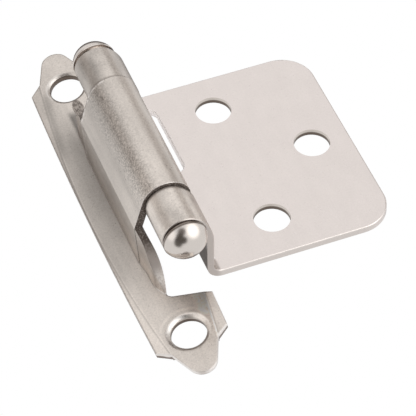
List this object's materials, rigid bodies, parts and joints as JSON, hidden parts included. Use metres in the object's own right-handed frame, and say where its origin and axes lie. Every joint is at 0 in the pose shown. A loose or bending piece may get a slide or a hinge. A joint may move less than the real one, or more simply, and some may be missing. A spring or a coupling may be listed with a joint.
{
  "type": "self-closing cabinet door hinge",
  "caption": "Spring loaded wrap-round cabinet hinge: a screw-eared frame leaf with a rolled barrel and a rectangular door leaf with ball-tipped knuckles.",
  "frame": {"origin": "midway between the two frame screws, on the plane that meets the cabinet", "axes": "+Z along the pin, +Y into the cabinet, -Y out of its front, +X along the face frame away from the door"},
  "size_m": [0.043, 0.0212, 0.0698],
  "materials": {
    "satin_nickel": "satin, vertical brush marks",
    "plate_nickel": "matte barrel-finished",
    "polished_nickel": "polished",
    "pin_steel": "ground",
    "acetal": "moulded",
    "spring_steel": "drawn wire"
  },
  "bodies": {
    "frame": {"frame_leaf": "satin_nickel", "barrel_bush_lower": "acetal", "barrel_bush_upper": "acetal", "torsion_spring": "spring_steel"},
    "door": {"door_leaf": "plate_nickel", "hinge_pin": "pin_steel", "ball_tip_lower": "polished_nickel", "ball_tip_upper": "polished_nickel"}
  },
  "joints": [
    {"name": "door_swing", "type": "hinge", "parent": "frame", "child": "door", "pos_m": [-0.0046, -0.0123, 0], "axis": [0, 0, 1], "range_deg": [0, 180], "stiffness_Nm_per_rad": 0.03, "springref_deg": -148.97, "deforming": ["torsion_spring"]}
  ]
}
